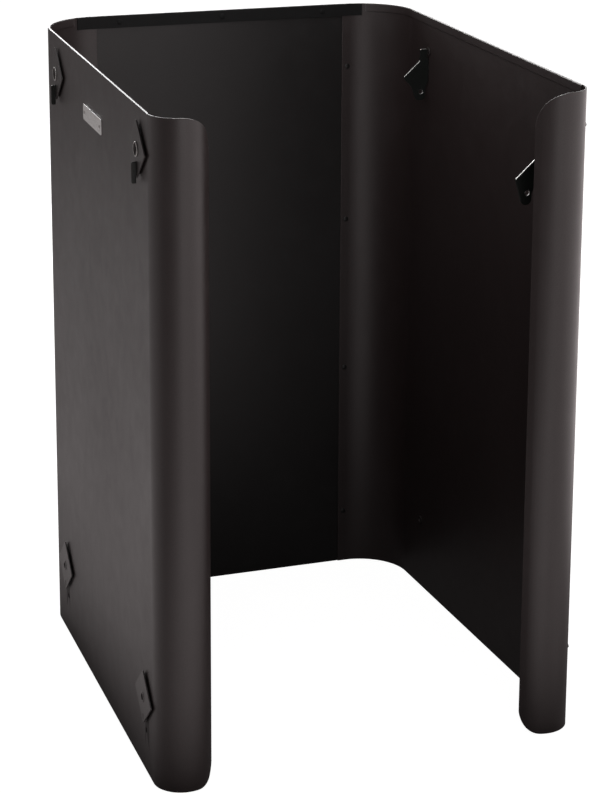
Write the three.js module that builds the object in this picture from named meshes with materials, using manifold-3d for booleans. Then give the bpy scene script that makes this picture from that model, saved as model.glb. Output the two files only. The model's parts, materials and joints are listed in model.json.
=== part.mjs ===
// Free-standing U-shaped heat and splash shield bent from painted sheet steel.
// Millimetres, +Z up. The shield stands on z = 0, its open side faces -Y and its
// rear panel faces +Y. The origin is the middle of the footprint.
//
// Two mirrored side shells (front lip, side wall, rear corner, short rear return)
// are riveted to a flat rear panel. Each side wall carries four diamond-shaped
// spacer plates, each held off the wall by a washer and a hollow centre rivet.
// The upper plates also take a flat hook that passes through plate and wall.
import * as THREE from "three";
import { mergeVertices } from "three/addons/utils/BufferGeometryUtils.js";
import Module from "manifold-3d";

const { degToRad, radToDeg } = THREE.MathUtils;

// ---- driving dimensions -----------------------------------------------------
const HEIGHT = 750; // overall height
const DEPTH = 570; // front of the lips to the back of the rear panel
const HALF_FRONT = 246; // half width over the walls, extrapolated to the front
const HALF_REAR = 230; // half width over the walls, extrapolated to the rear
const SHEET = 1.5; // side shell sheet

// Side shells
const REAR_R = 64; // rear corner radius, middle of the sheet
const REAR_STEPS = 14;
const RETURN_END = 158; // x of the free edge of each rear return
const LIP_R = 31; // front lip radius, middle of the sheet
const LIP_SWEEP = 148; // degrees the lip turns through
const LIP_STEPS = 16;
const LIP_FLAT = 7; // flat after the lip's bend
const FLAT_STEPS = 4;
const LIP_CORNER = 43; // corner radius of the lip's free edge at the top
const LIP_CORNER_LOW = 27; // and at the bottom
const CORNER_STEPS = 7; // divisions of the rounded corner of the free edge
const MIN_SPACING = 0.4; // least distance between an added section and another
const MIN_DROP_LEFT = 0.05; // part of the corner radius the free edge never uses
const HEM = 10; // height of the folded hem along the top of a side shell
const HEM_T = 1.5; // thickness the hem adds on the inside
const HEM_CORNER_STEP = 3; // rear corner division where the hem begins
const HEM_LIP_GAP = 4; // hem end to the start of the lip

// Rear panel and the strip along its top
const PANEL = 1.2; // rear panel sheet
const PANEL_HALF = 171; // half width of the rear panel
const PANEL_GAP = 0.05; // rear return to panel
const STRIP_HALF = 183; // half width of the strip
const STRIP_H = 15;
const STRIP_T = 1.1;
const STRIP_GAP = 0.35; // strip to side shell
const STRIP_BEND_STEPS = 4;
const SEAM_X = 165;
const SEAM_Z = [70, 270, 470, 670];
const STRIP_RIVET_X = [-130, 0, 130];
const STRIP_RIVET_Z = HEIGHT - STRIP_H / 2;
const RIVET_HEAD_T = 1.2;
const RIVET_SHANK_R = 1.7;
const RIVET_HOLE_R = 1.9;
const RIVET_CUT = 12; // length of the cutter for a rivet hole

// Spacer plates; their outlines are measured from the plate centre
const UPPER_Z = HEIGHT - 44; // centre of the upper plates
const LOWER_Z = 90; // centre of the lower plates
const FRONT_PLATE_Y = 64; // distance of the front plates behind the lip front
const REAR_PLATE_Y = 457; // and of the rear plates
const PLATE_HALF_W = 35; // half width along the wall
const PLATE_HALF_H = 31.5; // half height
const PLATE_T = 1.5;
const PLATE_CORNER = 2; // corner radius
const STAND_OFF = 2.2; // wall face to plate
const PLATE_OUT = STAND_OFF + PLATE_T; // wall face to the plate's outer face
const SLOT_W = 2.8; // hook slot in the upper plates and the wall
const SLOT_TOP = -12;
const SLOT_BOTTOM = -28;
const KEY_W = 2.6; // short slot of the lower plates
const KEY_TOP = -20;
const KEY_BOTTOM = -27;
const KEY_R = 3.2; // round hole in the left-hand wall below each of them
const KEY_C = -40.5;
const HOLE_STEPS = 16;
const PLATE_CUT = [-12, 8]; // reach of the wall cutters, inwards and outwards

// Hollow rivets and washers
const SHANK_R = 4.0;
const HOLE_R = 4.3; // hole for the shank in wall, washer and plate
const UPPER_RIVET = { flange: 8.2, bore: 2.6 }; // radii
const LOWER_RIVET = { flange: 6.2, bore: 3.3 };
const COLLAR_R = 6.0; // collar on the inside of the wall
const WASHER_R = 7;
const WASHER_GAP = 0.12; // washer to wall and to plate
const RIVET_GAP = 0.1; // hollow rivet or badge pin to the faces it clamps

// Badge plate on the left-hand wall
const BADGE_W = 88;
const BADGE_H = 18;
const BADGE_T = 1.0;
const BADGE_CORNER = 3;
const BADGE_GAP = 0.05; // wall to badge
const BADGE_Y = 280; // distance of the badge centre behind the lip front
const BADGE_Z = 690;
const PIN_OFFSETS = [-BADGE_W / 2 + 7, BADGE_W / 2 - 7]; // from the badge centre
const PIN_HOLE_R = 1.4;
const PIN_STEPS = 10;
const PIN_CUT = [-6, 6];

// ---- hooks ------------------------------------------------------------------
const HOOK_T = 2.0;
const HOOK_SLOT_GAP = 1.5; // hook to the top and to the bottom of its slot
const HOOK_TOP = SLOT_TOP - HOOK_SLOT_GAP;
const HOOK_BACK = -SHEET - 0.3; // clear of the inner face of the wall
const HOOK_OUT = PLATE_OUT + 0.3; // clear of the outer face of the plate
const NOSE_W = 5.2; // part of the hook outside the plate
const NOSE_R = 2;
const NOSE_BOTTOM = -36.5;
const EYE_R = 2.7;
const EYE_STEPS = 12;

// Inner arm outlines and eye centres, [outward, up] from the plate centre.
const FRONT_HOOK = {
  arm: [
    [HOOK_BACK, -38], [-12, -41], [-39, -66], [-43.5, -78],
    ...arc(-50.8, -87.5, 6.8, -8, -165, 6),
    [-60, -80], [-64.5, -66.5], [-64, -64], [-10, -14.5], [-10, 6],
    [-3.7, 6], [-3.7, -7.6], [HOOK_BACK, -7.6],
  ],
  eye: [-50, -80.5],
};
const REAR_HOOK = {
  arm: [
    [HOOK_BACK, -36], [-5.2, -44],
    ...arc(-12, -54, 6.4, 5, -165, 6),
    [-24, -43], [-34, -32], [-33.8, -29.3], [-13.2, -10.6], [-13.2, 4],
    [-3.7, 4], [-3.7, -7.6], [HOOK_BACK, -7.6],
  ],
  eye: [-11.6, -49.5],
};

const UPPER = { z: UPPER_Z, upper: true, rivet: UPPER_RIVET };
const LOWER = { z: LOWER_Z, upper: false, rivet: LOWER_RIVET };
const PLATES = [
  { ...UPPER, key: "upper_rear", y: REAR_PLATE_Y, hookKey: "rear", hook: REAR_HOOK },
  { ...UPPER, key: "upper_front", y: FRONT_PLATE_Y, hookKey: "front", hook: FRONT_HOOK },
  { ...LOWER, key: "lower_rear", y: REAR_PLATE_Y },
  { ...LOWER, key: "lower_front", y: FRONT_PLATE_Y },
];

// ---- finishes ---------------------------------------------------------------
const finish = (options) => new THREE.MeshStandardMaterial(options);
const PAINT = finish({ color: 0x3b3735, roughness: 0.55, metalness: 0.3 });
const PANEL_PAINT = finish({ color: 0x2b2b2c, roughness: 0.6, metalness: 0.25 });
const STRIP_BLACK = finish({ color: 0x0e0e0f, roughness: 0.7, metalness: 0.1 });
const PLATE_PAINT = finish({ color: 0x45403e, roughness: 0.5, metalness: 0.35 });
const PLATE_LIGHT = finish({ color: 0x6a6664, roughness: 0.5, metalness: 0.4 });
const ZINC = finish({ color: 0x6e6c6a, roughness: 0.4, metalness: 0.8 });
const HOOK_BLACK = finish({ color: 0x151a17, roughness: 0.5, metalness: 0.5 });
const BADGE_METAL = finish({ color: 0xb9b9b6, roughness: 0.35, metalness: 0.9 });

// ---- conversion between geometries and solids -------------------------------
const wasm = await Module();
wasm.setup();

function toSolid(geometry) {
  const bare = geometry.index ? geometry.toNonIndexed() : geometry.clone();
  bare.deleteAttribute("normal");
  bare.deleteAttribute("uv");
  const welded = mergeVertices(bare, 1e-4);
  return new wasm.Manifold(
    new wasm.Mesh({
      numProp: 3,
      vertProperties: new Float32Array(welded.attributes.position.array),
      triVerts: new Uint32Array(welded.index.array),
    }),
  );
}

function toGeometry(solid) {
  const { vertProperties, triVerts } = solid.getMesh();
  const geometry = new THREE.BufferGeometry();
  const positions = new THREE.BufferAttribute(new Float32Array(vertProperties), 3);
  geometry.setAttribute("position", positions);
  geometry.setIndex(new THREE.BufferAttribute(new Uint32Array(triVerts), 1));
  geometry.computeVertexNormals();
  return geometry;
}

// ---- outlines: lists of [x, y] ----------------------------------------------
// Points of an arc between two angles in degrees, both ends included.
function arc(centreX, centreY, radius, from, to, steps) {
  return Array.from({ length: steps + 1 }, (_, i) => {
    const angle = degToRad(from + ((to - from) * i) / steps);
    return [centreX + radius * Math.cos(angle), centreY + radius * Math.sin(angle)];
  });
}

function circle(radius, steps, centreX = 0, centreY = 0) {
  return arc(centreX, centreY, radius, 0, 360, steps).slice(0, -1);
}

// A rectangle with rounded corners, centred on (0, centreY).
function roundRect(width, height, radius, steps, centreY = 0) {
  const x = width / 2 - radius;
  const y = height / 2 - radius;
  return [
    ...arc(x, centreY + y, radius, 0, 90, steps),
    ...arc(-x, centreY + y, radius, 90, 180, steps),
    ...arc(-x, centreY - y, radius, 180, 270, steps),
    ...arc(x, centreY - y, radius, 270, 360, steps),
  ];
}

// An upright slot; a short flat remains between the rounded corners of each end.
function slotOutline(width, top, bottom) {
  return roundRect(width, top - bottom, width / 2 - 0.05, 3, (top + bottom) / 2);
}

// ---- prisms and turned parts ------------------------------------------------
const vectors = (points) => points.map(([x, y]) => new THREE.Vector2(x, y));

// A flat outline extruded along +z.
function prism(outline, depth, holes = []) {
  const shape = new THREE.Shape(vectors(outline));
  shape.holes.push(...holes.map((hole) => new THREE.Path(vectors(hole))));
  return new THREE.ExtrudeGeometry(shape, { depth, bevelEnabled: false, steps: 1 });
}

const X_AXIS = new THREE.Vector3(1, 0, 0);
const Y_AXIS = new THREE.Vector3(0, 1, 0);
const Z_AXIS = new THREE.Vector3(0, 0, 1);
const WALL_BASIS = new THREE.Matrix4().makeBasis(Y_AXIS, Z_AXIS, X_AXIS);
const FIN_BASIS = new THREE.Matrix4().makeBasis(X_AXIS, Z_AXIS, Y_AXIS.clone().negate());

// Parallel to a wall: outline in local (y, z), extruded between two local x.
function wallPrism(outline, [from, to], holes) {
  return prism(outline, to - from, holes).applyMatrix4(WALL_BASIS).translate(from, 0, 0);
}

// Square to a wall: outline in local (x, z), thickness centred on local y = 0.
function finPrism(outline, thickness, holes) {
  return prism(outline, thickness, holes)
    .applyMatrix4(FIN_BASIS)
    .translate(0, thickness / 2, 0);
}

// A part turned about local x. The profile is a closed loop of [radius, outward],
// anticlockwise so that the faces point out of the material.
function turned(profile, segments) {
  const lathe = new THREE.LatheGeometry(vectors([...profile, profile[0]]), segments);
  lathe.rotateZ(-Math.PI / 2);
  return toGeometry(toSolid(lathe));
}

// ---- plan of the right-hand side shell --------------------------------------
// Here y is measured from the front of the lips towards the rear.
const CENTRE_Y = (DEPTH + RIVET_HEAD_T) / 2; // footprint centre
const SLOPE = Math.atan((HALF_FRONT - HALF_REAR) / DEPTH);
const FORWARD = [Math.sin(SLOPE), -Math.cos(SLOPE)]; // along the wall, to the front
const OUTWARD = [Math.cos(SLOPE), Math.sin(SLOPE)];
const MID_REAR_Y = DEPTH - PANEL - PANEL_GAP - SHEET / 2; // middle of the rear return

// x of the middle of the side wall's sheet.
function wallMidX(y) {
  return HALF_REAR - SHEET / 2 / Math.cos(SLOPE) + (DEPTH - y) * Math.tan(SLOPE);
}

const REAR_TURN = Math.PI / 2 - SLOPE;
const REAR_CENTRE_X = wallMidX(MID_REAR_Y) - REAR_R * Math.tan(REAR_TURN / 2);
const REAR_CENTRE_Y = MID_REAR_Y - REAR_R;

function rearCornerPoints() {
  return Array.from({ length: REAR_STEPS + 1 }, (_, i) => {
    const angle = Math.PI / 2 - (REAR_TURN * i) / REAR_STEPS;
    const nx = Math.cos(angle);
    const ny = Math.sin(angle);
    return { x: REAR_CENTRE_X + REAR_R * nx, y: REAR_CENTRE_Y + REAR_R * ny, nx, ny };
  });
}

// The lip's outer face touches y = 0.
function lipPoints() {
  const centreY = LIP_R + SHEET / 2;
  const centreX = wallMidX(centreY + OUTWARD[1] * LIP_R) - OUTWARD[0] * LIP_R;
  return Array.from({ length: LIP_STEPS + 1 }, (_, i) => {
    const angle = (degToRad(LIP_SWEEP) * i) / LIP_STEPS;
    const nx = OUTWARD[0] * Math.cos(angle) + FORWARD[0] * Math.sin(angle);
    const ny = OUTWARD[1] * Math.cos(angle) + FORWARD[1] * Math.sin(angle);
    return { x: centreX + LIP_R * nx, y: centreY + LIP_R * ny, nx, ny };
  });
}

// The straight run that follows the lip's bend, without its first point.
function flatPoints({ x, y, nx, ny }) {
  return Array.from({ length: FLAT_STEPS }, (_, i) => {
    const distance = (LIP_FLAT * (i + 1)) / FLAT_STEPS;
    return { x: x + ny * distance, y: y - nx * distance, nx, ny };
  });
}

// Points of the middle of the sheet with their outward normals, from the free
// edge of the rear return to the free edge of the lip. len is the running length.
function shellPath() {
  const corner = rearCornerPoints();
  const lip = lipPoints();
  const returnEnd = { x: RETURN_END, y: MID_REAR_Y, nx: 0, ny: 1 };
  const path = [returnEnd, ...corner, ...lip, ...flatPoints(lip[LIP_STEPS])];
  let len = 0;
  path.forEach((point, i) => {
    if (i > 0) len += Math.hypot(point.x - path[i - 1].x, point.y - path[i - 1].y);
    point.len = len;
  });
  return { path, total: len, hemFrom: corner[HEM_CORNER_STEP].len, hemTo: lip[0].len - HEM_LIP_GAP };
}

// The path point at a running length, interpolated between its neighbours.
function pointAt(path, len) {
  const next = path.findIndex((point) => point.len >= len);
  const a = path[next - 1];
  const b = path[next];
  const mix = (key) => a[key] + ((b[key] - a[key]) * (len - a.len)) / (b.len - a.len);
  const nx = mix("nx");
  const ny = mix("ny");
  const size = Math.hypot(nx, ny);
  return { x: mix("x"), y: mix("y"), nx: nx / size, ny: ny / size, len };
}

// ---- side shells ------------------------------------------------------------
// Sheet swept along the path points. inner is the depth of the inner face below
// the middle of the sheet; bottom and top give the z range at a running length.
function sweptSheet(points, inner, bottom, top) {
  const vertices = [];
  const triangles = [];
  const quad = (a, b, c, d) => triangles.push(a, b, c, a, c, d);
  for (const { x, y, nx, ny, len } of points) {
    const outerXY = [x + (nx * SHEET) / 2, y + (ny * SHEET) / 2];
    const innerXY = [x - nx * inner, y - ny * inner];
    vertices.push(...outerXY, bottom(len), ...outerXY, top(len));
    vertices.push(...innerXY, top(len), ...innerXY, bottom(len));
  }
  const last = 4 * (points.length - 1);
  for (let base = 0; base < last; base += 4)
    for (let k = 0; k < 4; k++) {
      const k2 = (k + 1) % 4;
      quad(base + k, base + k2, base + 4 + k2, base + 4 + k);
    }
  quad(3, 2, 1, 0);
  quad(last, last + 1, last + 2, last + 3);
  const geometry = new THREE.BufferGeometry();
  geometry.setAttribute("position", new THREE.BufferAttribute(new Float32Array(vertices), 3));
  geometry.setIndex(triangles);
  return toSolid(geometry);
}

// The right-hand shell without holes, y still measured from the front.
function shellBlank() {
  const { path, total, hemFrom, hemTo } = shellPath();
  const points = [...path, pointAt(path, hemTo)];
  // extra sections where the free edge's corners are rounded
  for (let i = 0; i < CORNER_STEPS; i++) {
    const along = Math.sin((Math.PI / 2) * (i / CORNER_STEPS));
    const len = total - LIP_CORNER + LIP_CORNER * along;
    if (!path.some((point) => Math.abs(point.len - len) < MIN_SPACING))
      points.push(pointAt(path, len));
  }
  points.sort((a, b) => a.len - b.len);

  // how far a rounded corner cuts into the sheet's height
  const drop = (len, radius) => {
    const into = len - (total - radius);
    if (into <= 0) return 0;
    const cut = radius - Math.sqrt(Math.max(radius * radius - into * into, 0));
    return Math.min(cut, radius - MIN_DROP_LEFT);
  };
  const sheet = sweptSheet(
    points,
    SHEET / 2,
    (len) => drop(len, LIP_CORNER_LOW),
    (len) => HEIGHT - drop(len, LIP_CORNER),
  );
  const hemPoints = points.filter(({ len }) => len >= hemFrom - 1e-6 && len <= hemTo + 1e-6);
  const hem = sweptSheet(hemPoints, SHEET / 2 + HEM_T, () => HEIGHT - HEM, () => HEIGHT);
  return sheet.add(hem);
}

// Local frame on the outer face of a wall: x outward, z up, y towards the rear
// on the right and towards the front on the left. side = 1 right, -1 left.
function wallGroup(side, y, z) {
  const group = new THREE.Group();
  const faceX = wallMidX(y) + (SHEET / 2) * OUTWARD[0];
  const faceY = y + (SHEET / 2) * OUTWARD[1];
  group.position.set(side * faceX, faceY - CENTRE_Y, z);
  group.rotation.z = side > 0 ? SLOPE : Math.PI - SLOPE;
  return group;
}

// Cuts an outline given in a wall group's frame through a shell.
function cutWall(solid, group, outline, reach) {
  group.updateMatrixWorld(true);
  return solid.subtract(toSolid(wallPrism(outline, reach).applyMatrix4(group.matrixWorld)));
}

// Drills a rivet hole along y through the sheets at the rear.
function drillRear(solid, x, z) {
  const cutter = new THREE.CylinderGeometry(RIVET_HOLE_R, RIVET_HOLE_R, RIVET_CUT, 12);
  cutter.translate(x, MID_REAR_Y - CENTRE_Y, z);
  return solid.subtract(toSolid(cutter));
}

function sideShell(blank, side) {
  let shell = blank.translate([0, -CENTRE_Y, 0]);
  if (side < 0) shell = shell.mirror([1, 0, 0]);
  for (const { y, z, upper } of PLATES) {
    const group = wallGroup(side, y, z);
    const cut = (outline) => {
      shell = cutWall(shell, group, outline, PLATE_CUT);
    };
    cut(circle(HOLE_R, HOLE_STEPS));
    if (upper) cut(slotOutline(SLOT_W, SLOT_TOP, SLOT_BOTTOM));
    else if (side < 0) cut(circle(KEY_R, HOLE_STEPS, 0, KEY_C));
  }
  for (const z of SEAM_Z) shell = drillRear(shell, side * SEAM_X, z);
  if (side < 0)
    for (const offset of PIN_OFFSETS) {
      const group = wallGroup(side, BADGE_Y + offset, BADGE_Z);
      shell = cutWall(shell, group, circle(PIN_HOLE_R, PIN_STEPS), PIN_CUT);
    }
  return toGeometry(shell);
}

// ---- rear panel, top strip and their rivets ---------------------------------
const PANEL_BACK = DEPTH - CENTRE_Y;
const RETURN_FRONT = MID_REAR_Y - SHEET / 2 - CENTRE_Y;
const STRIP_FRONT = RETURN_FRONT - STRIP_GAP - STRIP_T;

function rearPanel() {
  const box = new THREE.BoxGeometry(2 * PANEL_HALF, PANEL, HEIGHT);
  box.translate(0, PANEL_BACK - PANEL / 2, HEIGHT / 2);
  let panel = toSolid(box);
  for (const z of SEAM_Z) for (const side of [-1, 1]) panel = drillRear(panel, side * SEAM_X, z);
  for (const x of STRIP_RIVET_X) panel = drillRear(panel, x, STRIP_RIVET_Z);
  return toGeometry(panel);
}

// Flat between the rear corners; its ends follow the corners' inner faces.
function topStrip() {
  const outerR = REAR_R - SHEET / 2 - STRIP_GAP;
  const endAngle = Math.asin((STRIP_HALF - REAR_CENTRE_X) / outerR);
  const bend = (radius) =>
    Array.from({ length: STRIP_BEND_STEPS + 1 }, (_, i) => {
      const angle = (endAngle * i) / STRIP_BEND_STEPS;
      const y = REAR_CENTRE_Y - CENTRE_Y + radius * Math.cos(angle);
      return [REAR_CENTRE_X + radius * Math.sin(angle), y];
    });
  const mirrored = (points) => points.map(([x, y]) => [-x, y]);
  const inner = bend(outerR - STRIP_T);
  const outer = bend(outerR);
  const plan = [
    ...mirrored(inner).reverse(),
    ...inner,
    ...[...outer].reverse(),
    ...mirrored(outer),
  ];
  let strip = toSolid(prism(plan, STRIP_H).translate(0, 0, HEIGHT - STRIP_H));
  for (const x of STRIP_RIVET_X) strip = drillRear(strip, x, STRIP_RIVET_Z);
  return toGeometry(strip);
}

// A rivet along +y: low domed head on the inside, flat head on the back.
function rearRivet(x, z, front) {
  const grip = PANEL_BACK - front;
  // [radius, distance behind the front face]
  const profile = [
    [0, -RIVET_HEAD_T],
    [2.2, -RIVET_HEAD_T + 0.25],
    [3.3, -0.35],
    [3.4, -0.05],
    [RIVET_SHANK_R, -0.05],
    [RIVET_SHANK_R, grip + 0.05],
    [3.2, grip + 0.05],
    [3.2, grip + 0.6],
    [2.6, grip + RIVET_HEAD_T],
    [0, grip + RIVET_HEAD_T],
  ];
  const lathe = new THREE.LatheGeometry(vectors(profile), 10);
  return toGeometry(toSolid(lathe.translate(x, front, z)));
}

// ---- spacer plates, hollow rivets, washers and hooks ------------------------
// The diamond with each tip replaced by an arc tangent to its two edges.
function diamondOutline() {
  const tips = vectors([
    [PLATE_HALF_W, 0],
    [0, PLATE_HALF_H],
    [-PLATE_HALF_W, 0],
    [0, -PLATE_HALF_H],
  ]);
  return tips.flatMap((tip, i) => {
    const toPrevious = tips[(i + 3) % 4].clone().sub(tip).normalize();
    const toNext = tips[(i + 1) % 4].clone().sub(tip).normalize();
    const half = toPrevious.angleTo(toNext) / 2;
    const bisector = toPrevious.clone().add(toNext).normalize();
    const centre = tip.clone().addScaledVector(bisector, PLATE_CORNER / Math.sin(half));
    const start = tip.clone().addScaledVector(toPrevious, PLATE_CORNER / Math.tan(half));
    const from = radToDeg(start.sub(centre).angle());
    return arc(centre.x, centre.y, PLATE_CORNER, from, from + 180 - 2 * radToDeg(half), 3);
  });
}

function spacerPlate(upper) {
  const slot = upper
    ? slotOutline(SLOT_W, SLOT_TOP, SLOT_BOTTOM)
    : slotOutline(KEY_W, KEY_TOP, KEY_BOTTOM);
  return wallPrism(diamondOutline(), [STAND_OFF, PLATE_OUT], [circle(HOLE_R, HOLE_STEPS), slot]);
}

// Flange over the plate, shank through plate and wall, collar inside the wall.
function hollowRivet({ flange, bore }) {
  const profile = [
    [bore, PLATE_OUT + 0.9],
    [bore, -SHEET - 1.5],
    [4.6, -SHEET - 1.6],
    [COLLAR_R, -SHEET - 0.9],
    [COLLAR_R, -SHEET - RIVET_GAP],
    [SHANK_R, -SHEET - RIVET_GAP],
    [SHANK_R, PLATE_OUT + RIVET_GAP],
    [flange, PLATE_OUT + RIVET_GAP],
    [flange, PLATE_OUT + 0.8],
    [flange - 1.2, PLATE_OUT + 1.5],
    [bore + 0.4, PLATE_OUT + 1.3],
  ];
  return turned(profile, 16);
}

function washer() {
  const profile = [
    [HOLE_R, WASHER_GAP],
    [WASHER_R, WASHER_GAP],
    [WASHER_R, STAND_OFF - WASHER_GAP],
    [HOLE_R, STAND_OFF - WASHER_GAP],
  ];
  return turned(profile, 16);
}

// The nose hangs outside the plate; the arm reaches inside the wall.
function hookGeometry({ arm, eye }) {
  const outline = [
    [HOOK_OUT, HOOK_TOP],
    [HOOK_OUT + NOSE_W, HOOK_TOP],
    ...arc(HOOK_OUT + NOSE_W - NOSE_R, NOSE_BOTTOM + NOSE_R, NOSE_R, 0, -90, 3),
    [HOOK_OUT + 0.8, NOSE_BOTTOM],
    [HOOK_OUT, NOSE_BOTTOM + 1],
    [HOOK_OUT, SLOT_BOTTOM + HOOK_SLOT_GAP],
    [HOOK_BACK, SLOT_BOTTOM + HOOK_SLOT_GAP],
    ...arm,
    [HOOK_BACK, HOOK_TOP],
  ];
  return finPrism(outline, HOOK_T, [circle(EYE_R, EYE_STEPS, ...eye)]);
}

// ---- blank badge plate and its pins -----------------------------------------
const BADGE_OUT = BADGE_GAP + BADGE_T; // wall face to the badge's outer face

function badgePlate() {
  const holes = PIN_OFFSETS.map((offset) => circle(PIN_HOLE_R, PIN_STEPS, offset, 0));
  const outline = roundRect(BADGE_W, BADGE_H, BADGE_CORNER, 4);
  return wallPrism(outline, [BADGE_GAP, BADGE_OUT], holes);
}

function badgePin(offset) {
  const profile = [
    [0, -SHEET - 0.7],
    [1.9, -SHEET - 0.7],
    [1.9, -SHEET - RIVET_GAP],
    [1.2, -SHEET - RIVET_GAP],
    [1.2, BADGE_OUT + RIVET_GAP],
    [2.2, BADGE_OUT + RIVET_GAP],
    [1.6, BADGE_OUT + 0.6],
    [0, BADGE_OUT + 0.9],
  ];
  return turned(profile, PIN_STEPS).translate(0, offset, 0);
}

// ---- assembly ---------------------------------------------------------------
const root = new THREE.Group();

function add(parent, name, geometry, material) {
  const mesh = new THREE.Mesh(geometry, material);
  mesh.name = name;
  parent.add(mesh);
}

function addRear() {
  add(root, "rear_panel", rearPanel(), PANEL_PAINT);
  add(root, "rear_top_strip", topStrip(), STRIP_BLACK);
  SEAM_Z.forEach((z, i) => {
    const left = rearRivet(-SEAM_X, z, RETURN_FRONT);
    const right = rearRivet(SEAM_X, z, RETURN_FRONT);
    add(root, `seam_rivet_left_${i + 1}`, left, PANEL_PAINT);
    add(root, `seam_rivet_right_${i + 1}`, right, PANEL_PAINT);
  });
  STRIP_RIVET_X.forEach((x, i) => {
    const rivet = rearRivet(x, STRIP_RIVET_Z, STRIP_FRONT);
    add(root, `strip_rivet_${i + 1}`, rivet, PANEL_PAINT);
  });
}

function addSpacer(side, { key, y, z, upper, rivet, hookKey, hook }) {
  const tag = side > 0 ? "right" : "left";
  const group = wallGroup(side, y, z);
  root.add(group);
  const paint = upper ? PLATE_PAINT : PLATE_LIGHT;
  add(group, `spacer_plate_${tag}_${key}`, spacerPlate(upper), paint);
  add(group, `hollow_rivet_${tag}_${key}`, hollowRivet(rivet), ZINC);
  add(group, `standoff_washer_${tag}_${key}`, washer(), ZINC);
  if (hook) add(group, `hook_${tag}_${hookKey}`, hookGeometry(hook), HOOK_BLACK);
}

function addBadge() {
  const group = wallGroup(-1, BADGE_Y, BADGE_Z);
  root.add(group);
  add(group, "badge_plate", badgePlate(), BADGE_METAL);
  PIN_OFFSETS.forEach((offset, i) => add(group, `badge_pin_${i + 1}`, badgePin(offset), ZINC));
}

const blank = shellBlank();
add(root, "right_side_shell", sideShell(blank, 1), PAINT);
add(root, "left_side_shell", sideShell(blank, -1), PAINT);
addRear();
for (const side of [1, -1]) for (const plate of PLATES) addSpacer(side, plate);
addBadge();

export default root;
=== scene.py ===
"""Sheet-steel heat shield for a stove, built over its CAD frame.

Two tapering side shells, each a wall between a rounded rear corner and a rolled front lip,
are riveted to a rear panel; plates, washers, hollow rivets, hooks and a badge sit on the walls.

Frame: +X right, +Y rear, +Z up; the shield is centred on X and Y and stands on z = 0.
Dimensions are millimetres unless noted; MM turns them into scene metres.
"""

import json
import math
from collections import namedtuple

import bmesh
import bpy
from mathutils import Matrix, Vector


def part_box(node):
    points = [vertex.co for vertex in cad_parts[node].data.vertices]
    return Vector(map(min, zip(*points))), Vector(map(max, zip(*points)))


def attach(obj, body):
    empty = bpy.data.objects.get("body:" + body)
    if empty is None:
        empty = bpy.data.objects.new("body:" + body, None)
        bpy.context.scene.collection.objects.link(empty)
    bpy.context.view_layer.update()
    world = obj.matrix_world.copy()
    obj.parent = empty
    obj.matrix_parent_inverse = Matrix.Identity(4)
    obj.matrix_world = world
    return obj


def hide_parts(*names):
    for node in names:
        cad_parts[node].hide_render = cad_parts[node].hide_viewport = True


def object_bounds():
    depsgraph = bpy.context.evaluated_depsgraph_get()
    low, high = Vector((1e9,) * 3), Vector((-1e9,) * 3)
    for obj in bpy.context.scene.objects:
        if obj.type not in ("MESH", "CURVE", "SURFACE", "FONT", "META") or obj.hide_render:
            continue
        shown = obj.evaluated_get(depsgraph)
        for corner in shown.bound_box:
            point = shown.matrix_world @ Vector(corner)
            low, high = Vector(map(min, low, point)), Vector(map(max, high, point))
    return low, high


MM = 0.001
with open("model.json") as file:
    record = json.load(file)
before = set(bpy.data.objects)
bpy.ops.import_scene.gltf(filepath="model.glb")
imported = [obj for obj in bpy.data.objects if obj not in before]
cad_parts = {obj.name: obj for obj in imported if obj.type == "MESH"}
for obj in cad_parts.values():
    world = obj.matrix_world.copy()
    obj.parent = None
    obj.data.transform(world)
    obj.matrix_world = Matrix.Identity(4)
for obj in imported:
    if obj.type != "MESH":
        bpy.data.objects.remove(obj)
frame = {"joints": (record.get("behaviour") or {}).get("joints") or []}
cad_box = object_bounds()
JOINTS = {joint["child"]: joint for joint in frame["joints"]}

# ---------------------------------------------------------------- dimensions
# Plan dimensions have y = 0 at the front; OFFSET_Y moves them into the centred frame.
HEIGHT = 750.0
DEPTH = 570.0
HALF_FRONT = 246.0
HALF_REAR = 230.0
SHEET = 1.5  # side shells
HALF_SHEET = SHEET / 2
PANEL = 1.2  # rear panel
OFFSET_Y = (DEPTH + PANEL) / 2
SLOPE = math.atan((HALF_FRONT - HALF_REAR) / DEPTH)  # taper of each wall in plan
REAR_R = 64.0  # rear corner, to the middle of the sheet
REAR_TURN = math.pi / 2 - SLOPE
MID_REAR_Y = DEPTH - PANEL - 0.05 - HALF_SHEET  # middle of the shell's rear return
RETURN_END = 158.0  # x of the return's free edge
LIP_R = 31.0
LIP_SWEEP = 148.0  # degrees
LIP_FLAT = 7.0
LIP_CORNER = 43.0  # rounding of the lip's free edge at the top
LIP_CORNER_LOW = 27.0  # and at the bottom
HEM = 10.0  # depth of the fold along the top
HEM_T = 1.5
SHEET_EDGE = 0.45  # rounding of the shell's edges

STAND_OFF = 2.2  # gap between wall and plate
PLATE_T = 1.5
PLATE_KEYS = ("upper_rear", "upper_front", "lower_rear", "lower_front")
RIVET_HOLE_R = 4.3
UPPER_SLOT = dict(width=2.8, top=-12, bottom=-28)
LOWER_SLOT = dict(width=2.6, top=-20, bottom=-27)
WALL_HOLE_R = 3.2  # round holes in the left wall, below the lower plates
WALL_HOLE_UP = -40.5
PANEL_HOLE_R = 1.9
PIN_HOLE_R = 1.4


def wall_mid_x(y):
    """x of the middle of the right wall's sheet at plan depth y."""
    return HALF_REAR - HALF_SHEET / math.cos(SLOPE) + (DEPTH - y) * math.tan(SLOPE)


CORNER_X = wall_mid_x(MID_REAR_Y) - REAR_R * math.tan(REAR_TURN / 2)
CORNER_Y = MID_REAR_Y - REAR_R


def box_centre(node):
    low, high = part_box(node)
    return (low + high) / 2


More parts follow.
